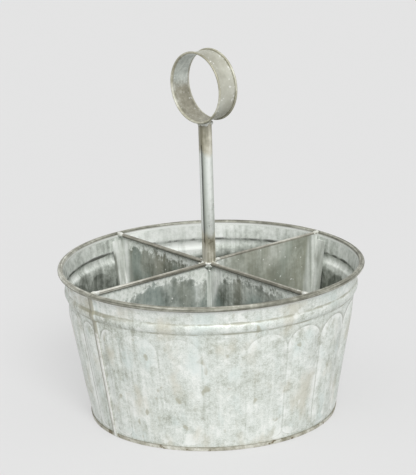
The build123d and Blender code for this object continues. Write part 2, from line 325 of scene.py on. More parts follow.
# The outside is pale and finely mottled, with a few scuffs. Near the seam it is duller and streaked, and the
# band over the bead is lighter, most of all near the seam.
wall_round = tau * mid_radius
dull_near = 12 * mm
dull_far = 42 * mm
streak_near = 20 * mm
streak_far = 70 * mm
band_low = bead_s + 3 * mm
band_full = bead_s + 7 * mm
along = add_node(tree, "ShaderNodeSeparateXYZ", {0: flat_place})
after_seam = add_node(tree, "ShaderNodeMath", {0: along, 1: seam_angle * mid_radius}, operation="SUBTRACT")
before_seam = add_node(tree, "ShaderNodeMath", {0: wall_round, 1: after_seam}, operation="SUBTRACT")
from_seam = add_node(tree, "ShaderNodeMath", {0: after_seam, 1: before_seam}, operation="MINIMUM")
dull = add_node(tree, "ShaderNodeMapRange", {0: from_seam, 1: dull_near, 2: dull_far, 3: -0.02, 4: 0.0})
# Painted light: each lobe's crown is a little lighter than its edges.
painted_crown_light = add_node(tree, "ShaderNodeMapRange", {0: crown, 1: 0.0, 2: 0.7, 3: 0.0, 4: 0.02})
by_seam = add_node(tree, "ShaderNodeMapRange", {0: from_seam, 1: streak_far, 2: streak_near})
streak = product(tree, by_seam, summed(tree, runs, -0.5))
band_light = add_node(tree, "ShaderNodeMapRange", {0: up_wall, 1: band_low, 2: band_full, 3: 0.0, 4: 0.02})
seam_band = product(tree, by_seam, band_light)
tone = summed(tree, (clouds, 0.20), (mottle, 0.34), (fine, 0.28), (grain, 0.28), (runs, 0.20))
tone = summed(tree, tone, painted_crown_light, dull, (streak, 0.28), band_light, (seam_band, 2.5))
outside_stops = [(0.52, "a3a699"), (0.60, "c2c7be"), (0.68, "d7dcd6"), (0.80, "eef0ec")]
colour = add_node(tree, "ShaderNodeValToRGB", {0: tone}, stops=outside_stops)
tint_place = add_node(
    tree, "ShaderNodeMapping", {"Vector": place, "Location": (1.9, 0.9, 0.0), "Scale": (1.0, 0.6, 1.0)}
)
tint = add_node(tree, "ShaderNodeTexNoise", {"Vector": tint_place, "Scale": per(24 * mm), "Detail": 5.0})
colour = layered(tree, colour, "c9c3b0", tint, 0.52, 0.72, 0.5)
colour = layered(tree, colour, "d2dedb", tint, 0.46, 0.30, 0.5)
scuff_place = add_node(tree, "ShaderNodeMapping", {"Vector": place, "Scale": (1.0, 0.8, 1.0)})
scuffs = add_node(tree, "ShaderNodeTexNoise", {"Vector": scuff_place, "Scale": per(10 * mm), "Detail": 1.5})
scuffs = summed(tree, scuffs, (fine, 0.25))
colour = layered(tree, colour, "abaa97", scuffs, 0.775, 0.87, 0.75)

# White bloom lies in soft-edged splashes, more of them close to the bead, the rim and the foot.
bloom_foot = 26 * mm
splash_place = add_node(tree, "ShaderNodeMapping", {"Vector": place, "Location": (0.3, 0.1, 0.0)})
splash = add_node(
    tree,
    "ShaderNodeTexNoise",
    {"Vector": splash_place, "Scale": per(17 * mm), "Detail": 6.0, "Roughness": 0.6},
)
rim_zone = add_node(tree, "ShaderNodeMapRange", {0: up_wall, 1: lobe_spring_s, 2: bead_s})
foot_zone = add_node(tree, "ShaderNodeMapRange", {0: up_wall, 1: bloom_foot, 2: 0.0})
splash = summed(tree, splash, (rim_zone, 0.07), (foot_zone, 0.10))
colour = layered(tree, colour, "eff1ed", splash, 0.64, 0.70, 0.6)

# Round each lobe a grey line of painted shade marks the fold, fainter towards the foot and where the lobe is
# worn flat. Inside it the lobe's edge has a painted highlight. A strip right under the curl is painted
# lighter against the curl's shade.
fold_low = lobe_spring_s - 34 * mm
arch_low = lobe_spring_s - 25 * mm
strip_low = wall_top_s - 7 * mm
strip_full = wall_top_s - 1.5 * mm
patchy = summed(tree, (mottle, 0.5), (clouds, 0.5))
patchy = add_node(tree, "ShaderNodeMapRange", {0: patchy, 1: 0.40, 2: 0.60, 3: 0.3, 4: 1.2})
half_worn = summed(tree, (pressed, 0.8), 0.2)
# Painted shade: a grey line in the crease round each lobe.
lobe_fold_shade = add_node(tree, "ShaderNodeMapRange", {0: off(tree, crown, -0.08), 1: 0.42, 2: 0.0})
fold_fade = add_node(tree, "ShaderNodeMapRange", {0: up_wall, 1: fold_low, 2: lobe_spring_s, 3: 0.65, 4: 1.0})
lobe_fold_shade = product(tree, lobe_fold_shade, patchy, half_worn, fold_fade)
colour = layered(tree, colour, "989a8e", lobe_fold_shade, 0.20, 1.0, 0.6)
on_lobe = add_node(tree, "ShaderNodeMath", {0: crown, 1: 0.0}, operation="GREATER_THAN")
# Painted highlight: the lobe's edge inside the fold, brightest at the arch.
lobe_edge_highlight = add_node(tree, "ShaderNodeMapRange", {0: crown, 1: 0.9, 2: 0.1})
arch_zone = add_node(tree, "ShaderNodeMapRange", {0: up_wall, 1: arch_low, 2: lobe_spring_s, 3: 0.8, 4: 1.0})
lobe_edge_highlight = product(tree, lobe_edge_highlight, on_lobe, arch_zone, patchy, half_worn)
colour = layered(tree, colour, "f3f5f2", lobe_edge_highlight, 0.10, 0.90, 0.75)
# Painted light: the strip under the curl is lightened against the curl's shade.
painted_light_strip = add_node(tree, "ShaderNodeMapRange", {0: up_wall, 1: strip_low, 2: strip_full})
colour = layered(tree, colour, "f8faf7", painted_light_strip, 0.1, 1.0, 0.8)

# Inside, the band over the bead is clean. Below the bead's dark upper edge lies a white band, then the wall
# darkens, with painted shade deepest in the hollows of the lobes. Each quarter gets its own painted light:
# each pair below is a share of the way round from the seam and a lightness, where 0.5 is plain. Right of the
# post the white band is bare.
side_light_levels = (
    (0.24, 0.5),
    (0.27, 0.46),
    (0.48, 0.46),
    (0.51, 0.48),
    (0.60, 0.48),
    (0.66, 0.66),
    (0.73, 0.66),
    (0.76, 0.38),
    (1.0, 0.38),
)
white_middle = bead_s - 2 * mm
dark_start = bead_s - 3 * mm
dark_full = bead_s - 7 * mm
bare_top = bead_s + 1 * mm
round_share = add_node(tree, "ShaderNodeMath", {0: after_seam, 1: wall_round}, operation="DIVIDE")
side_light_stops = [(share, (level, level, level, 1.0)) for share, level in side_light_levels]
# Painted light: each quarter of the inside is lightened or darkened by its own level.
painted_side_light = add_node(tree, "ShaderNodeValToRGB", {0: round_share}, stops=side_light_stops)
painted_side_light = summed(tree, painted_side_light, -0.5)
left_side = add_node(tree, "ShaderNodeMapRange", {0: round_share, 1: 0.74, 2: 0.76})
band_edge = summed(tree, up_wall, (mottle, 8 * mm), (left_side, -4 * mm))
low_wall = add_node(tree, "ShaderNodeMapRange", {0: band_edge, 1: dark_start, 2: dark_full, 3: 0.0, 4: -0.13})
# Painted shade in the hollows of the lobes, seen from inside.
painted_hollow_shade = add_node(tree, "ShaderNodeMapRange", {0: crown, 1: 0.0, 2: 0.16, 3: 0.0, 4: -0.07})
right_of_post = add_node(tree, "ShaderNodeMapRange", {0: round_share, 1: 0.645, 2: 0.63, 3: 0.0, 4: -0.12})
past_divider = add_node(tree, "ShaderNodeMapRange", {0: round_share, 1: 0.49, 2: 0.51})
under_bead = add_node(tree, "ShaderNodeMapRange", {0: up_wall, 1: bare_top, 2: dark_start})
bare = product(tree, right_of_post, past_divider, under_bead)
white_band = off(tree, up_wall, white_middle)
white_band = add_node(tree, "ShaderNodeMapRange", {0: white_band, 1: 8 * mm, 2: 2 * mm, 3: 0.02, 4: 0.05})
inside_tone = summed(tree, (clouds, 0.24), (mottle, 0.30), (fine, 0.22), (runs, 0.34))
inside_tone = summed(tree, inside_tone, low_wall, painted_hollow_shade, white_band, (painted_side_light, 0.4), bare)
inside_stops = [(0.30, "666b62"), (0.44, "a6aba3"), (0.53, "d2d7d0"), (0.64, "f0f3ef")]
inside = add_node(tree, "ShaderNodeValToRGB", {0: inside_tone}, stops=inside_stops)
groove = off(tree, up_wall, bead_s + bead_width / 2)
groove = add_node(tree, "ShaderNodeMapRange", {0: groove, 1: 2.2 * mm, 2: 0.4 * mm})
groove = product(tree, groove, patchy)
inside = layered(tree, inside, "53564d", groove, 0.25, 0.80, 0.85)
colour = add_node(tree, "ShaderNodeMix", {0: inner, 6: colour, 7: inside}, out=2, data_type="RGBA")

# Dirt stays along the bead, mostly near the seam. Patchy grey-olive lines run along the bead's edges, and
# painted shadow lies beside the fold of the seam. The fold itself is dull, with a painted highlight in places
# below the bead.
grime_rise = 3.2 * mm
near_seam = add_node(tree, "ShaderNodeMapRange", {0: from_seam, 1: 15 * mm, 2: 48 * mm, 3: 0.62, 4: 0.0})
on_bead = off(tree, up_wall, bead_s + grime_rise)
on_bead = add_node(tree, "ShaderNodeMapRange", {0: on_bead, 1: 3.2 * mm, 2: 0.8 * mm})
grime = summed(tree, (near_seam, 0.8), (fine, 0.9), (clouds, 0.5))
grime = product(tree, grime, on_bead)
colour = layered(tree, colour, "95937f", grime, 0.80, 1.30, 0.85)
bead_edge = off(tree, off(tree, up_wall, bead_s), bead_width / 2)
bead_edge = add_node(tree, "ShaderNodeMapRange", {0: bead_edge, 1: 2.2 * mm, 2: 0.2 * mm})
outer_side = add_node(tree, "ShaderNodeMath", {0: 1.0, 1: inner}, operation="SUBTRACT")
bead_edge = product(tree, bead_edge, patchy, outer_side)
colour = layered(tree, colour, "a2a291", bead_edge, 0.36, 0.95, 0.8)
# Painted shadow: a dark line beside the seam's fold, where its step would throw shade.
painted_fold_shadow = off(tree, before_seam, 3.0 * mm)
colour = layered(tree, colour, "918f7c", painted_fold_shadow, 2.6 * mm, 1.0 * mm, 0.85)
on_fold = add_node(tree, "ShaderNodeMapRange", {0: from_seam, 1: 2.4 * mm, 2: 1.4 * mm})
fold_zone = add_node(tree, "ShaderNodeMapRange", {0: up_wall, 1: lobe_apex_s, 2: lobe_apex_s - 8 * mm})
# Painted highlight: bright patches on the fold below the bead.
painted_fold_highlight = product(tree, on_fold, fold_zone, summed(tree, fine, mottle))
colour = layered(tree, colour, "a3a18d", on_fold, 0.1, 0.8, 0.8)
colour = layered(tree, colour, "f4f5f1", painted_fold_highlight, 0.45, 1.15, 0.95)

# The rim is handled: brown-grey, with fine lines drawn along it, and paler on the left.
rim_low = wall_top_s - 1.0 * mm
rim_full = wall_top_s + 0.3 * mm
rim = add_node(tree, "ShaderNodeMapRange", {0: up_wall, 1: rim_low, 2: rim_full})
line_place = add_node(tree, "ShaderNodeMapping", {"Vector": place, "Scale": (0.03, 1.0, 1.0)})
lines = add_node(tree, "ShaderNodeTexNoise", {"Vector": line_place, "Scale": per(1.4 * mm), "Detail": 2.0})
rim_left = add_node(tree, "ShaderNodeMapRange", {0: before_seam, 1: 200 * mm, 2: 110 * mm, 3: 0.0, 4: 0.06})
rim_tone = summed(tree, (lines, 0.5), (fine, 0.2), (mottle, 0.4), rim_left)
rim_stops = [(0.43, "5b5a4e"), (0.545, "838377"), (0.635, "abab9f"), (0.735, "dfe1d8")]
rim_colour = add_node(tree, "ShaderNodeValToRGB", {0: rim_tone}, stops=rim_stops)
colour = add_node(tree, "ShaderNodeMix", {0: rim, 6: colour, 7: rim_colour}, out=2, data_type="RGBA")
close_skin(tree, shader, colour, marks, 0.25, (0.40, 0.62), inner)

# The press: it lifts each lobe off the wall as a low crown under an elliptical arch, less at the front,
# where the lobes are worn. It folds up the seam and leaves the shallow dents of hand work. For the marks on
# the lobes, it notes where each crown lies and how much of it is left.
press = bpy.data.node_groups.new("press_wall", "GeometryNodeTree")
press_sizes = {
    "Lobe Pitch": lobe_pitch,
    "Lobe Land": lobe_land,
    "Lobe Rise": 2.0 * mm,
    "Lobe Foot Rise": 0.6 * mm,
    "Lobe Edge": 1.4,
    "Lobe Spring": lobe_spring_s,
    "Lobe Arch Height": lobe_arch_height,
    "Lobe Foot Spring": lobe_foot_spring_s,
    "Lobe Foot Arch": lobe_foot_arch,
    "Seam Rise": 1.1 * mm,
    "Dent Size": 26 * mm,
    "Dent Depth": 1.1 * mm,
    "Dent Free Height": 8 * mm,
    "Wall Top": wall_top_s,
    "Worn Turn": radians(-46),
    "Worn Edge": 0.70,
    "Worn Core": 0.93,
    "Worn Share": 0.64,
    "Seed": 4.0,
}
press.interface.new_socket("Sheet", in_out="INPUT", socket_type="NodeSocketGeometry")
press_sockets = {}
for size_name in press_sizes:
    press_sockets[size_name] = press.interface.new_socket(
        size_name, in_out="INPUT", socket_type="NodeSocketFloat"
    )
press.interface.new_socket("Sheet", in_out="OUTPUT", socket_type="NodeSocketGeometry")
given = press.nodes.new("NodeGroupInput").outputs


def axis_distance(tree, place, kept_ways=(1.0, 1.0, 0.0)):
    """How far a place lies from an axis, measured only along the ways that are kept."""
    level = add_node(tree, "ShaderNodeVectorMath", {0: place, 1: kept_ways}, operation="MULTIPLY")
    return add_node(tree, "ShaderNodeVectorMath", {0: level}, out="Value", operation="LENGTH")


up, turn_in_lobe, turn_of_lobe, seam_lift, on_inside = [
    add_node(press, "GeometryNodeInputNamedAttribute", {"Name": mark})
    for mark in ("up_wall", "lobe_turn", "lobe_pitch", "seam_lift", "inner")
]
spot = add_node(press, "GeometryNodeInputPosition")
spot_radius = axis_distance(press, spot)
outwards = add_node(press, "ShaderNodeVectorMath", {0: spot, 1: (1.0, 1.0, 0.0)}, operation="MULTIPLY")
outwards = add_node(press, "ShaderNodeVectorMath", {0: outwards}, operation="NORMALIZE")
lobe_width = product(press, spot_radius, turn_of_lobe)
lobe_width = add_node(press, "ShaderNodeMath", {0: lobe_width, 1: given["Lobe Land"]}, operation="SUBTRACT")
across = product(press, turn_in_lobe, spot_radius, 2.0)
across = add_node(press, "ShaderNodeMath", {0: across, 1: lobe_width}, operation="DIVIDE")
past_ends = []
for higher, lower, arch in (
    (up, given["Lobe Spring"], given["Lobe Arch Height"]),
    (given["Lobe Foot Spring"], up, given["Lobe Foot Arch"]),
):
    past = add_node(press, "ShaderNodeMath", {0: higher, 1: lower}, operation="SUBTRACT")
    past = add_node(press, "ShaderNodeMath", {0: past, 1: arch}, operation="DIVIDE")
    past_ends.append(add_node(press, "ShaderNodeMath", {0: past, 1: 0.0}, operation="MAXIMUM"))
climb, fall = past_ends
from_crest = add_node(press, "ShaderNodeCombineXYZ", {"X": across, "Y": climb, "Z": fall})
from_crest = add_node(
    press, "ShaderNodeVectorMath", {0: from_crest, 1: from_crest}, out="Value", operation="DOT_PRODUCT"
)
lobe_crown = add_node(press, "ShaderNodeMath", {0: 1.0, 1: from_crest}, operation="SUBTRACT")
rise = add_node(
    press,
    "ShaderNodeMapRange",
    {
        0: up,
        1: given["Lobe Foot Spring"],
        2: given["Lobe Spring"],
        3: given["Lobe Foot Rise"],
        4: given["Lobe Rise"],
    },
)
narrowing = add_node(press, "ShaderNodeMath", {0: turn_of_lobe, 1: given["Lobe Pitch"]}, operation="DIVIDE")
worn_x = add_node(press, "ShaderNodeMath", {0: given["Worn Turn"]}, operation="COSINE")
worn_y = add_node(press, "ShaderNodeMath", {0: given["Worn Turn"]}, operation="SINE")
worn_way = add_node(press, "ShaderNodeCombineXYZ", {"X": worn_x, "Y": worn_y})
facing = add_node(
    press, "ShaderNodeVectorMath", {0: outwards, 1: worn_way}, out="Value", operation="DOT_PRODUCT"
)
worn = add_node(
    press,
    "ShaderNodeMapRange",
    {0: facing, 1: given["Worn Edge"], 2: given["Worn Core"], 3: 0.0, 4: given["Worn Share"]},
)
kept = add_node(press, "ShaderNodeMath", {0: 1.0, 1: worn}, operation="SUBTRACT")
rise = product(press, rise, narrowing, kept)
swell = add_node(press, "ShaderNodeMath", {0: lobe_crown, 1: 0.0}, operation="MAXIMUM")
swell = add_node(press, "ShaderNodeMath", {0: swell, 1: given["Lobe Edge"]}, operation="POWER")
swell = product(press, swell, rise)
on_outside = add_node(press, "ShaderNodeMath", {0: 1.0, 1: on_inside}, operation="SUBTRACT")
below_curl = add_node(press, "ShaderNodeMath", {0: up, 1: given["Wall Top"]}, operation="LESS_THAN")
fold = product(press, seam_lift, on_outside, below_curl)
dent_scale = add_node(press, "ShaderNodeMath", {0: 1.0, 1: given["Dent Size"]}, operation="DIVIDE")
dent = add_node(
    press,
    "ShaderNodeTexNoise",
    {"Vector": spot, "W": given["Seed"], "Scale": dent_scale, "Detail": 1.0},
    noise_dimensions="4D",
)
dent = product(press, summed(press, dent, -0.5), given["Dent Depth"])
to_top = add_node(press, "ShaderNodeMath", {0: given["Wall Top"], 1: up}, operation="SUBTRACT")
for from_edge in (up, to_top):
    fade = {0: from_edge, 1: given["Dent Free Height"]}
    dent = product(press, dent, add_node(press, "ShaderNodeMath", fade, operation="DIVIDE", use_clamp=True))
swell = summed(press, swell, (fold, given["Seam Rise"]), dent)
slope = add_node(press, "ShaderNodeVectorMath", {0: outwards, "Scale": cos(taper)}, operation="SCALE")
slope = add_node(press, "ShaderNodeVectorMath", {0: slope, 1: (0.0, 0.0, -sin(taper))}, operation="ADD")
shift = add_node(press, "ShaderNodeVectorMath", {0: slope, "Scale": swell}, operation="SCALE")
shaped = add_node(press, "GeometryNodeSetPosition", {"Geometry": given["Sheet"], "Offset": shift})
for mark, value in (("crown", lobe_crown), ("pressed", kept)):
    shaped = add_node(
        press,
        "GeometryNodeStoreNamedAttribute",
        {"Geometry": shaped, "Name": mark, "Value": value},
        data_type="FLOAT",
        domain="POINT",
    )
shaped = add_node(press, "GeometryNodeRealizeInstances", {"Geometry": shaped})
shaped = add_node(press, "GeometryNodeSetMaterial", {"Geometry": shaped, "Material": wall_zinc})
add_node(press, "NodeGroupOutput", {0: shaped})


def placed(name, data):
    """An object with that data, put in the scene."""
    thing = bpy.data.objects.new(name, data)
    bpy.context.scene.collection.objects.link(thing)
    return thing


row_marks = ("up_wall", "inner")
column_marks = ("lobe_turn", "lobe_pitch", "seam_lift")
wall_blank = placed("wall_blank", lathe("wall_blank", wall_rows, wall_columns, row_marks, column_marks))
pressing = wall_blank.modifiers.new("press", "NODES")
pressing.node_group = press
for size_name, socket in press_sockets.items():
    pressing[socket.identifier] = press_sizes[size_name]
depsgraph = bpy.context.evaluated_depsgraph_get()
wall_mesh = bpy.data.meshes.new_from_object(
    wall_blank.evaluated_get(depsgraph), preserve_all_data_layers=True, depsgraph=depsgraph
)
bpy.data.objects.remove(wall_blank)
wall = placed("bucket_wall_sheet", wall_mesh)
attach(wall, "root")
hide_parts("bucket_wall")

# Rim wire: a hoop of drawn steel wire inside the curl, which stiffens the mouth. It was dipped with the
# bucket, and only its underside shows in the open side of the curl.
wire_radius = 1.5 * mm
wire_sides = 16
wire_steps = 240


def zinc_material(name, run_scale):
    """A material with its tree, its shader, the piece's own coordinates and the zinc marks on them."""
    material, tree, shader = new_material(name)
    place = add_node(tree, "ShaderNodeTexCoord", out="Object")
    return material, tree, shader, place, zinc_marks(tree, place, run_scale)


# Zinc-dipped steel wire: a dull brown-grey skin with a soft mottle.
wire_zinc, tree, shader, _, marks = zinc_material("zinc_dipped_wire", (1.0, 1.0, 0.3))
clouds, mottle, fine, _, _ = marks
tone = summed(tree, (clouds, 0.3), (mottle, 0.4), (fine, 0.3))
wire_stops = [(0.40, "6d6a5b"), (0.52, "8f8d7e"), (0.64, "b5b4a8")]
colour = add_node(tree, "ShaderNodeValToRGB", {0: tone}, stops=wire_stops)
close_skin(tree, shader, colour, marks, 0.35, (0.45, 0.65))
wire_rows = []
for turn in spaced(tau, 0, wire_sides):
    wire_rows.append((curl_r + wire_radius * cos(turn), curl_z + wire_radius * sin(turn), wall_top_s))
wire_columns = [(turn,) for turn in spaced(0, tau, wire_steps)]
wire = placed("rim_wire_hoop", lathe("rim_wire_hoop", wire_rows, wire_columns))
wire.data.materials.append(wire_zinc)
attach(wire, "root")
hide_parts("rim_wire")

# Base: a disc of the same sheet, raised a little in the foot of the wall. Its edge is turned down inside
# the wall and folded up round it as a narrow lip, and the bucket stands on that fold.
base_top_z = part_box("base_plate")[1].z
lip_inside = wall_foot_radius - 1.5 * mm


def coat(material, *nodes):
    """Gives CAD nodes their material."""
    for node in nodes:
        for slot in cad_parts[node].material_slots:
            slot.material = material


# Weathered galvanised sheet, as the wall: grey on the floor and pale on the lip, darker brown over the floor
# and along the lip's top edge, and small spots of rust.
base_zinc, tree, shader, place, marks = zinc_material("weathered_galvanised_base", (1.0, 1.0, 0.3))
clouds, mottle, fine, grain, _ = marks
height = add_node(tree, "ShaderNodeSeparateXYZ", {0: place}, out="Z")
tone = summed(tree, (clouds, 0.25), (mottle, 0.35), (fine, 0.3), (grain, 0.1))
floor_stops = [(0.38, "6c7168"), (0.50, "979c93"), (0.62, "c9cdc7")]
floor_colour = add_node(tree, "ShaderNodeValToRGB", {0: tone}, stops=floor_stops)
lip_stops = [(0.40, "8d8a78"), (0.49, "b8b6a8"), (0.56, "d4d4ca"), (0.64, "eff0eb")]
lip_colour = add_node(tree, "ShaderNodeValToRGB", {0: tone}, stops=lip_stops)
colour = layered(tree, floor_colour, lip_colour, axis_distance(tree, place), lip_inside, wall_foot_radius)
colour = layered(tree, colour, "6f6b58", height, base_top_z - 1.5 * mm, base_top_z - 0.4 * mm, 0.55)
rust = add_node(tree, "ShaderNodeTexNoise", {"Vector": place, "Scale": per(5 * mm), "Detail": 2.0})
colour = layered(tree, colour, "6b5f45", rust, 0.60, 0.67, 0.9)
close_skin(tree, shader, colour, marks, 0.25, (0.45, 0.65))
coat(base_zinc, "base_plate")

# Dividers: a long plate across the mouth and two half plates soldered to it, all of galvanised sheet.
# Each has its top edge rolled over and its ends turned into flanges. Flux left a white crust on them.
roll_top_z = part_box("long_divider")[1].z
roll_width = 3.4 * mm
roll_foot_z = roll_top_z - roll_width
crust_drop = 24 * mm
flange_start = wall_foot_radius - 14 * mm
flange_full = wall_foot_radius - 9 * mm

# Streaked galvanised sheet: grey clouds and runs, with painted shade that darkens them downwards. Painted
# shade dulls the long plate, the far end of the back half is duller, the back half is a more even olive grey,
# and the front half is cooler, with painted light that makes it paler.
divider_zinc, tree, shader, place, marks = zinc_material("streaked_galvanised_divider", (1.0, 1.0, 0.12))
clouds, mottle, fine, _, runs = marks
radius = axis_distance(tree, place)
along_long, along_cross, height = add_node(tree, "ShaderNodeSeparateXYZ", {0: place}).node.outputs
off_long = off(tree, along_cross, 0.0)
off_cross = off(tree, along_long, 0.0)
off_sheet = add_node(tree, "ShaderNodeMath", {0: off_long, 1: off_cross}, operation="MINIMUM")
depth_top = roll_foot_z - 8 * mm
depth_full = roll_foot_z - 30 * mm
depth = add_node(tree, "ShaderNodeMapRange", {0: height, 1: depth_top, 2: depth_full})
on_long = add_node(tree, "ShaderNodeMapRange", {0: off_long, 1: 2.0 * mm, 2: 1.0 * mm})
# Painted shade on the long plate, darker towards +X, and painted light on the front half.
long_shade_by_end = add_node(tree, "ShaderNodeMapRange", {0: along_long, 1: -10 * mm, 2: 10 * mm, 3: -0.03, 4: -0.07})
long_plate_shade = product(tree, on_long, long_shade_by_end)
far_dull = add_node(tree, "ShaderNodeMapRange", {0: along_cross, 1: 30 * mm, 2: 95 * mm, 3: 0.0, 4: -0.045})
front_half_light = add_node(tree, "ShaderNodeMapRange", {0: along_cross, 1: -4 * mm, 2: -14 * mm, 3: 0.0, 4: 0.03})
tone = summed(tree, (clouds, 0.46), (mottle, 0.24), (fine, 0.16), (runs, 0.24))
# The depth term is painted shade, darker downwards into the compartments.
tone = summed(tree, tone, (depth, -0.055), long_plate_shade, far_dull, front_half_light)
divider_stops = [(0.42, "5a5f56"), (0.485, "8b9088"), (0.55, "bcc1b9"), (0.63, "e8ece7")]
colour = add_node(tree, "ShaderNodeValToRGB", {0: tone}, stops=divider_stops)
colour = layered(tree, colour, "8a8b78", along_long, -10 * mm, -30 * mm, 0.35)
tint_place = add_node(
    tree, "ShaderNodeMapping", {"Vector": place, "Location": (0.2, 0.5, 0.3), "Scale": (1.0, 1.0, 0.5)}
)
tint = add_node(tree, "ShaderNodeTexNoise", {"Vector": tint_place, "Scale": per(26 * mm), "Detail": 3.0})
colour = layered(tree, colour, "8c8874", tint, 0.52, 0.68, 0.4)
colour = layered(tree, colour, "9dada8", tint, 0.47, 0.33, 0.45)
colour = layered(tree, colour, "a7aa9a", along_cross, 4 * mm, 30 * mm, 0.55)
colour = layered(tree, colour, "8c9994", along_cross, -6 * mm, -20 * mm, 0.35)
specks = add_node(tree, "ShaderNodeTexNoise", {"Vector": place, "Scale": per(3.0 * mm), "Detail": 1.0})
colour = layered(tree, colour, "eceeea", specks, 0.72, 0.76, 0.8)

# The crust hangs from the roll in ragged drips, widest at the front end, and the back half has hardly any.
near_roll = add_node(tree, "ShaderNodeMapRange", {0: height, 1: roll_foot_z - crust_drop, 2: roll_foot_z})
from_wall = summed(tree, radius, (height, -sin(taper) / cos(taper)))
near_wall = add_node(tree, "ShaderNodeMapRange", {0: from_wall, 1: 70 * mm, 2: wall_foot_radius})
near_post = add_node(tree, "ShaderNodeMapRange", {0: radius, 1: 34 * mm, 2: 8 * mm})
front_end = add_node(tree, "ShaderNodeMapRange", {0: along_cross, 1: -60 * mm, 2: -105 * mm, 3: 0.0, 4: 0.16})
back_half = add_node(tree, "ShaderNodeMapRange", {0: along_cross, 1: 2 * mm, 2: 12 * mm, 3: 0.0, 4: -0.25})
crust = summed(tree, (near_roll, 0.41), (near_wall, 0.12), (near_post, 0.12), front_end, back_half)
crust = summed(tree, crust, (runs, 0.22), (mottle, 0.44), (fine, 0.22))
crust_stops = [(0.34, "d3d8cf"), (0.48, "ecf1ea"), (0.60, "fafdf8")]
crust_colour = add_node(tree, "ShaderNodeValToRGB", {0: fine}, stops=crust_stops)
colour = layered(tree, colour, crust_colour, crust, 0.71, 0.80, 0.9)

# The flanges at the wall and the corners by the post were tinned before soldering: streaked and pale, in the
# corners as a wedge that is wider along the long plate. A line of painted shadow edges the left flange below
# the bead.
band_place = add_node(tree, "ShaderNodeMapping", {"Vector": place, "Scale": (1.0, 1.0, 0.02)})
bands = add_node(tree, "ShaderNodeTexNoise", {"Vector": band_place, "Scale": per(5 * mm), "Detail": 2.0})
tinned_tone = summed(tree, (bands, 0.7), (mottle, 0.3))
tinned_stops = [(0.38, "a7aba3"), (0.52, "d3d7d1"), (0.64, "f4f6f3")]
tinned = add_node(tree, "ShaderNodeValToRGB", {0: tinned_tone}, stops=tinned_stops)
colour = layered(tree, colour, tinned, from_wall, flange_start, flange_full, 0.9)
from_crossing = summed(tree, radius, (on_long, -13 * mm), (depth, 10 * mm), (runs, 12 * mm))
colour = layered(tree, colour, tinned, from_crossing, 13 * mm, 6 * mm, 0.85)
bead_z = slant(bead_s, 0)[1]
# Painted shadow: a dark line at the flange's edge below the bead.
flange_edge_shadow = add_node(tree, "ShaderNodeMapRange", {0: off_sheet, 1: 8.2 * mm, 2: 8.9 * mm})
below_bead = add_node(tree, "ShaderNodeMapRange", {0: height, 1: bead_z + 4 * mm, 2: bead_z})
left_end = add_node(tree, "ShaderNodeMath", {0: along_long, 1: 0.0}, operation="LESS_THAN")
flange_edge_shadow = product(tree, flange_edge_shadow, below_bead, left_end)
colour = layered(tree, colour, "6f7267", flange_edge_shadow, 0.0, 1.0, 0.7)

# The roll is brown-grey with fine lines along it, with painted light on top and painted shade below.
roll_light_low = roll_foot_z + 2.4 * mm
face_low = roll_foot_z + 1.3 * mm
face_high = roll_foot_z + 1.9 * mm
line_place = add_node(tree, "ShaderNodeMapping", {"Vector": place, "Scale": (0.008, 0.008, 1.0)})
lines = add_node(tree, "ShaderNodeTexNoise", {"Vector": line_place, "Scale": per(1.0 * mm), "Detail": 2.0})
# Painted light and shade: the roll's top lighter, its lower part darker.
roll_light_and_shade = add_node(tree, "ShaderNodeMapRange", {0: height, 1: roll_light_low, 2: roll_top_z, 3: -0.06, 4: 0.04})
roll_tone = summed(tree, (lines, 0.6), (mottle, 0.25), (fine, 0.15), roll_light_and_shade, (front_end, 0.6))
roll_stops = [(0.38, "626055"), (0.5, "949286"), (0.62, "cfcfc5")]
roll_colour = add_node(tree, "ShaderNodeValToRGB", {0: roll_tone}, stops=roll_stops)
off_face = add_node(tree, "ShaderNodeMapRange", {0: off_sheet, 1: 0.4 * mm, 2: 0.7 * mm})
upper_half = add_node(tree, "ShaderNodeMapRange", {0: height, 1: face_low, 2: face_high})
on_roll = add_node(tree, "ShaderNodeMath", {0: off_face, 1: upper_half}, operation="MAXIMUM")
above_foot = add_node(tree, "ShaderNodeMath", {0: height, 1: roll_foot_z}, operation="GREATER_THAN")
on_roll = product(tree, on_roll, above_foot)
colour = add_node(tree, "ShaderNodeMix", {0: on_roll, 6: colour, 7: roll_colour}, out=2, data_type="RGBA")
close_skin(tree, shader, colour, marks, 0.05, (0.42, 0.62))
coat(divider_zinc, "long_divider", "front_half_divider", "back_half_divider")

# Handle post: a tube bent from sheet, its edges meeting in a slit, soldered over the crossing of the
# dividers. It is satin, with painted highlights and painted shade in bands up it, and stained brown by flux
# at both ends.
post_low, post_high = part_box("handle_post")
stain_low = post_low.z + 13 * mm
stain_high = post_high.z - 13 * mm
stain_fringe = 4 * mm
stain_fade = 2 * mm
wetted_top = roll_top_z + 1.0 * mm
wetted_full = roll_top_z - 0.5 * mm

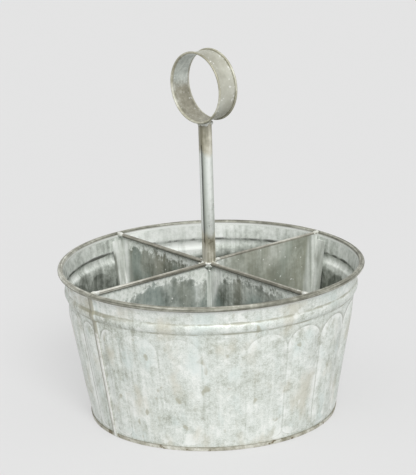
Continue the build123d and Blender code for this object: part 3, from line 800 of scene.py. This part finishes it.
# Satin zinc on a tube: bands of grey run up it, painted shade along the slit and painted highlights beside it
# and further round. Each pair is a turn round the post in degrees and the grey there.
post_light_bands = (
    (-180, "c8cdc6"),
    (-110, "d5dad4"),
    (-86, "e9ede8"),
    (-81, "454a43"),
    (-74, "62675f"),
    (-60, "b2b8b0"),
    (-30, "e4e9e3"),
    (-10, "f3f6f2"),
    (20, "cdd3cc"),
    (60, "bcc2ba"),
)
post_light_stops = [((angle + 180) / 360, code) for angle, code in post_light_bands]
post_zinc, tree, shader, place, marks = zinc_material("satin_zinc_tube", (1.0, 1.0, 0.05))
clouds, mottle, fine, _, runs = marks
beside, aside, height = add_node(tree, "ShaderNodeSeparateXYZ", {0: place}).node.outputs
round_post = add_node(tree, "ShaderNodeMath", {0: aside, 1: beside}, operation="ARCTAN2")
round_post = add_node(tree, "ShaderNodeMapRange", {0: round_post, 1: -pi, 2: pi})
colour = add_node(tree, "ShaderNodeValToRGB", {0: round_post}, stops=post_light_stops)
tone = summed(tree, (clouds, 0.15), (mottle, 0.35), (fine, 0.2), (runs, 0.3))
colour = layered(tree, colour, "9ea49a", tone, 0.54, 0.36, 0.6)
foot_pale = {0: height, 1: post_low.z, 2: post_high.z, 3: 0.08, 4: -0.07}
stain_tone = summed(tree, (runs, 0.6), (mottle, 0.4), add_node(tree, "ShaderNodeMapRange", foot_pale))
stain_stops = [(0.42, "89836d"), (0.50, "b8b29d"), (0.58, "e0dccd")]
stain = add_node(tree, "ShaderNodeValToRGB", {0: stain_tone}, stops=stain_stops)
stain = add_node(
    tree, "ShaderNodeMix", {0: 0.2, 6: stain, 7: colour}, out=2, data_type="RGBA", blend_type="MULTIPLY"
)
wander = summed(tree, (mottle, 10 * mm), (runs, 20 * mm))
low_edge = summed(tree, height, (wander, -1.0))
high_edge = summed(tree, height, wander)
colour = layered(tree, colour, stain, low_edge, stain_low + stain_fringe, stain_low - stain_fade, 0.9)
colour = layered(tree, colour, stain, high_edge, stain_high - stain_fade, stain_high + stain_fringe, 0.85)
wetted = summed(tree, height, (mottle, 2 * mm))
colour = layered(tree, colour, "ced3cb", wetted, wetted_top, wetted_full, 0.9)
close_skin(tree, shader, colour, marks, 0.4, (0.26, 0.40))
coat(post_zinc, "handle_post")

# Ring handle: a strip of sheet bent to a loop with both its edges rolled, soldered on top of the post.
# Handling has left it a dull brown-grey, with flecks of white bloom.
ring_low, ring_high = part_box("handle_ring")
ring_turn = radians(3.4)
ring_half_width = 10 * mm
ring_bore = 27.7 * mm
ring_centre_z = ring_high.z - 29.5 * mm
roll_shadow = ring_half_width - 2.6 * mm
roll_start = ring_half_width - 2.0 * mm
roll_full = ring_half_width - 1.6 * mm

# Handled zinc band: brown low on the inside, grey above, an even brown-grey outside, and paler rolled edges
# with a line of painted shadow beside them.
ring_zinc, tree, shader, place, marks = zinc_material("handled_zinc_band", (1.0, 0.25, 1.0))
clouds, mottle, fine, _, runs = marks
turned = add_node(
    tree,
    "ShaderNodeMapping",
    {"Vector": place, "Location": (0.0, 0.0, -ring_centre_z), "Rotation": (0.0, 0.0, -ring_turn)},
)
_, across_band, up_ring = add_node(tree, "ShaderNodeSeparateXYZ", {0: turned}).node.outputs
from_middle = off(tree, across_band, 0.0)
from_axis = axis_distance(tree, turned, (1.0, 0.0, 1.0))
tone = summed(tree, (clouds, 0.25), (mottle, 0.4), (fine, 0.3), (runs, 0.05))
grey_stops = [(0.38, "979d96"), (0.50, "c0c5be"), (0.62, "e4e8e2")]
grey = add_node(tree, "ShaderNodeValToRGB", {0: tone}, stops=grey_stops)
brown_stops = [(0.38, "787565"), (0.50, "949182"), (0.62, "b8b6a8")]
brown = add_node(tree, "ShaderNodeValToRGB", {0: tone}, stops=brown_stops)
ragged_height = summed(tree, up_ring, (mottle, 24 * mm))
inner_colour = layered(tree, brown, grey, ragged_height, 6 * mm, 16 * mm)
outer_tone = summed(tree, (clouds, 0.6), (mottle, 0.3), (fine, 0.1))
outer_stops = [(0.38, "a3a294"), (0.50, "b9b9ac"), (0.62, "cfd0c6")]
outer_colour = add_node(tree, "ShaderNodeValToRGB", {0: outer_tone}, stops=outer_stops)
colour = layered(tree, inner_colour, outer_colour, from_axis, ring_bore + 0.1 * mm, ring_bore + 0.3 * mm)
flecks = add_node(
    tree, "ShaderNodeTexNoise", {"Vector": place, "Scale": per(3.0 * mm), "Detail": 4.0, "Roughness": 0.6}
)
near_edge = add_node(tree, "ShaderNodeMapRange", {0: from_middle, 1: 4 * mm, 2: 8 * mm, 3: 0.0, 4: 0.10})
colour = layered(tree, colour, "f1f2ee", summed(tree, flecks, near_edge), 0.62, 0.74, 0.8)
# Painted shadow beside each rolled edge.
colour = layered(tree, colour, "86836f", from_middle, roll_shadow, roll_start, 0.65)
edge_tone = summed(tree, (clouds, 0.5), (mottle, 0.4), (fine, 0.1))
edge_stops = [(0.38, "898673"), (0.50, "b2b09d"), (0.62, "e4e5dc")]
edge_colour = add_node(tree, "ShaderNodeValToRGB", {0: edge_tone}, stops=edge_stops)
colour = layered(tree, colour, edge_colour, from_middle, roll_start, roll_full)
close_skin(tree, shader, colour, marks, 0.3, (0.36, 0.55))
coat(ring_zinc, "handle_ring")

# Solder: soft tin-lead solder run on by hand at the foot of the post, under the ring, at the divider ends
# and down the four corners of the crossing. It set in rounded lumps that run into each other.
run_start = roll_top_z - 1.5 * mm
run_full = roll_top_z - 3.5 * mm
lump_grain = 0.6 * mm
shown_share = 0.575
melt_scale = 1000

# Soft solder: bright tin grey with dull yellowish patches, and streaked grey where it ran down a corner.
solder, tree, shader, place, marks = zinc_material("soft_solder", (1.0, 1.0, 0.2))
_, mottle, fine, grain, runs = marks
height = add_node(tree, "ShaderNodeSeparateXYZ", {0: place}, out="Z")
tone = summed(tree, (mottle, 0.3), (fine, 0.35), (grain, 0.15), (runs, 0.2))
lump_stops = [(0.36, "85816f"), (0.45, "bfc0b5"), (0.54, "e1e3dd"), (0.64, "f8f9f7")]
colour = add_node(tree, "ShaderNodeValToRGB", {0: tone}, stops=lump_stops)
run_place = add_node(tree, "ShaderNodeMapping", {"Vector": place, "Scale": (1.0, 1.0, 0.02)})
streaks = add_node(tree, "ShaderNodeTexNoise", {"Vector": run_place, "Scale": per(1.6 * mm), "Detail": 2.0})
run_tone = summed(tree, (streaks, 0.7), (mottle, 0.3))
run_stops = [(0.38, "a4aaa1"), (0.50, "d3d9d1"), (0.62, "f6faf5")]
run_colour = add_node(tree, "ShaderNodeValToRGB", {0: run_tone}, stops=run_stops)
colour = layered(tree, colour, run_colour, height, run_start, run_full)
close_skin(tree, shader, colour, marks, 0.15, (0.30, 0.50))
coat(solder, "corner_solder")


def solder_lumps(name, balls, *nodes):
    """Round lumps that run together: each ball is a place and the radius it would show alone.

    They are melted at a larger size and shrunk, because the grid of a melt can't be finer than 5 mm.
    """
    blob = bpy.data.metaballs.new(f"{name}_melt")
    blob.resolution = lump_grain * melt_scale
    for centre, ball_radius in balls:
        element = blob.elements.new()
        element.co = Vector(centre) * melt_scale
        element.radius = ball_radius / shown_share * melt_scale
    melt = placed(f"{name}_melt", blob)
    depsgraph = bpy.context.evaluated_depsgraph_get()
    mesh = bpy.data.meshes.new_from_object(melt.evaluated_get(depsgraph))
    bpy.data.objects.remove(melt)
    mesh.transform(Matrix.Scale(1 / melt_scale, 4))
    mesh.materials.append(solder)
    mesh.shade_smooth()
    piece = placed(name, mesh)
    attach(piece, "root")
    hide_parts(*nodes)


# At the post's foot: a collar in two rows (each a drop below the rolls' tops and a ball's radius), a run down
# each corner (drop, reach from the axis and radius), and a few balls out along each roll (reach).
draw = random.Random(11)
post_radius = post_high.x
collar_steps = 16
collar_rows = ((3.4 * mm, 1.2 * mm), (1.0 * mm, 1.1 * mm))
corner_run = (
    (4.6 * mm, 4.2 * mm, 1.1 * mm),
    (6.0 * mm, 3.4 * mm, 1.2 * mm),
    (8.0 * mm, 2.5 * mm, 1.2 * mm),
    (10.5 * mm, 1.7 * mm, 1.1 * mm),
    (13.0 * mm, 1.3 * mm, 1.0 * mm),
)
roll_run = (7.5 * mm, 9.0 * mm, 10.5 * mm)
quarter = tau / 4
foot_balls = []
for step in range(collar_steps):
    turn = step * tau / collar_steps
    for drop, ball_size in collar_rows:
        reach = post_radius + draw.uniform(-0.4, 0.4) * mm
        centre = (reach * cos(turn), reach * sin(turn), roll_top_z - drop + draw.uniform(-0.4, 1.2) * mm)
        foot_balls.append((centre, ball_size * draw.uniform(0.75, 1.1)))
for way in range(4):
    corner = (way + 0.5) * quarter
    for drop, reach, ball_size in corner_run:
        centre = (reach * cos(corner), reach * sin(corner), roll_top_z - drop)
        foot_balls.append((centre, ball_size * draw.uniform(0.85, 1.1)))
    turn = way * quarter
    for reach in roll_run:
        centre = (reach * cos(turn), reach * sin(turn), roll_top_z - draw.uniform(0.4, 1.0) * mm)
        foot_balls.append((centre, draw.uniform(0.9, 1.4) * mm))
solder_lumps("post_foot_solder_lumps", foot_balls, "post_foot_solder")

# Under the ring: one row round the top of the post
ring_ball_count = 12
ring_balls = []
for step in range(ring_ball_count):
    turn = step * tau / ring_ball_count
    reach = post_radius + draw.uniform(-0.8, 0.2) * mm
    centre = (reach * cos(turn), reach * sin(turn), ring_low.z - draw.uniform(0.2, 1.4) * mm)
    ring_balls.append((centre, draw.uniform(1.1, 1.8) * mm))
solder_lumps("ring_solder_lumps", ring_balls, "ring_solder")

# At the rim: a tack at each divider end that thins inwards along the roll. Each is a turn, the side of the
# sheet that the roll is on, and a count of balls.
roll_offset = 1.4 * mm
tack_step = 2 * mm
tack_reach = 120.8 * mm
tack_size = 2.1
tack_thinning = 0.2
tack_least = 1.45
tacks = (
    (0, -roll_offset, 8),
    (quarter, roll_offset, 3),
    (2 * quarter, roll_offset, 4),
    (3 * quarter, roll_offset, 6),
)
tack_balls = []
for turn, sideways, steps in tacks:
    for step in range(steps):
        out = tack_reach - step * tack_step
        side = sideways + draw.uniform(-0.4, 0.4) * mm
        ball_z = roll_top_z - draw.uniform(1.3, 1.7) * mm
        centre = (out * cos(turn) - side * sin(turn), out * sin(turn) + side * cos(turn), ball_z)
        ball_size = max(tack_least, tack_size - tack_thinning * step)
        tack_balls.append((centre, ball_size * draw.uniform(0.92, 1.1) * mm))
solder_lumps("rim_tack_solder_lumps", tack_balls, "rim_tack_solder")

# Floor, light and camera: a sheet of pale paper under a soft key light and a broad overhead light, with the
# camera in front on the right and a little above.
floor_half = 6.0
floor_corners = [(x * floor_half, y * floor_half, 0) for x, y in ((-1, -1), (1, -1), (1, 1), (-1, 1))]
floor_mesh = bpy.data.meshes.new("studio_floor")
floor_mesh.from_pydata(floor_corners, [], [(0, 1, 2, 3)])
floor_piece = placed("studio_floor", floor_mesh)

# Matt studio paper: an even grey without gloss, which glows a little so that it looks pale.
paper, _, paper_shader = new_material("matt_studio_paper")
for socket, value in (
    ("Base Color", ink("909090")),
    ("Roughness", 1.0),
    ("Specular IOR Level", 0.0),
    ("Emission Color", ink("e5e5e5")),
    ("Emission Strength", 0.60),
):
    paper_shader.inputs[socket].default_value = value
floor_mesh.materials.append(paper)

world = bpy.data.worlds.new("studio")
bpy.context.scene.world = world
world.use_nodes = True
sky = world.node_tree
sky_light = 0.40
camera_ray = add_node(sky, "ShaderNodeLightPath", out="Is Camera Ray")
seen = camera_ray
for ray in ("Is Glossy Ray", "Is Transmission Ray"):
    seen = add_node(sky, "ShaderNodeMath", {0: seen, 1: camera_ray.node.outputs[ray]}, operation="MAXIMUM")
sky_colour = add_node(
    sky,
    "ShaderNodeMix",
    {0: seen, 6: (sky_light, sky_light, sky_light, 1.0), 7: ink("e5e5e5")},
    out=2,
    data_type="RGBA",
)
sky.links.new(sky_colour, sky.nodes["Background"].inputs["Color"])

for lamp_name, strength, spread, lamp_from in (
    ("key", 2.0, 25, Vector((0.88, -0.44, 0.72))),
    ("overhead", 1.0, 90, Vector((0.1, -0.2, 1.0))),
):
    lamp_data = bpy.data.lights.new(lamp_name, "SUN")
    lamp_data.energy = strength
    lamp_data.angle = radians(spread)
    lamp = placed(lamp_name, lamp_data)
    lamp.rotation_euler = lamp_from.to_track_quat("Z", "Y").to_euler()

azimuth = radians(50.98)
elevation = radians(16.29)
roll = radians(-1.84)
distance = 1796.8 * mm
aim_height = 147.3 * mm
aim_right = -0.4 * mm
lens = 165.86
back = Vector((sin(azimuth) * cos(elevation), -cos(azimuth) * cos(elevation), sin(elevation)))
right = Vector((cos(azimuth), sin(azimuth), 0))
upward = back.cross(right)
rolled_right = cos(roll) * right + sin(roll) * upward
rolled_up = cos(roll) * upward - sin(roll) * right
camera_data = bpy.data.cameras.new("photo_view")
camera_data.lens = lens
camera = placed("photo_view", camera_data)
camera.matrix_world = Matrix((rolled_right, rolled_up, back)).transposed().to_4x4()
camera.location = Vector((0, 0, aim_height)) + aim_right * right + distance * back
bpy.context.scene.camera = camera
bpy.context.scene.view_settings.view_transform = "Standard"
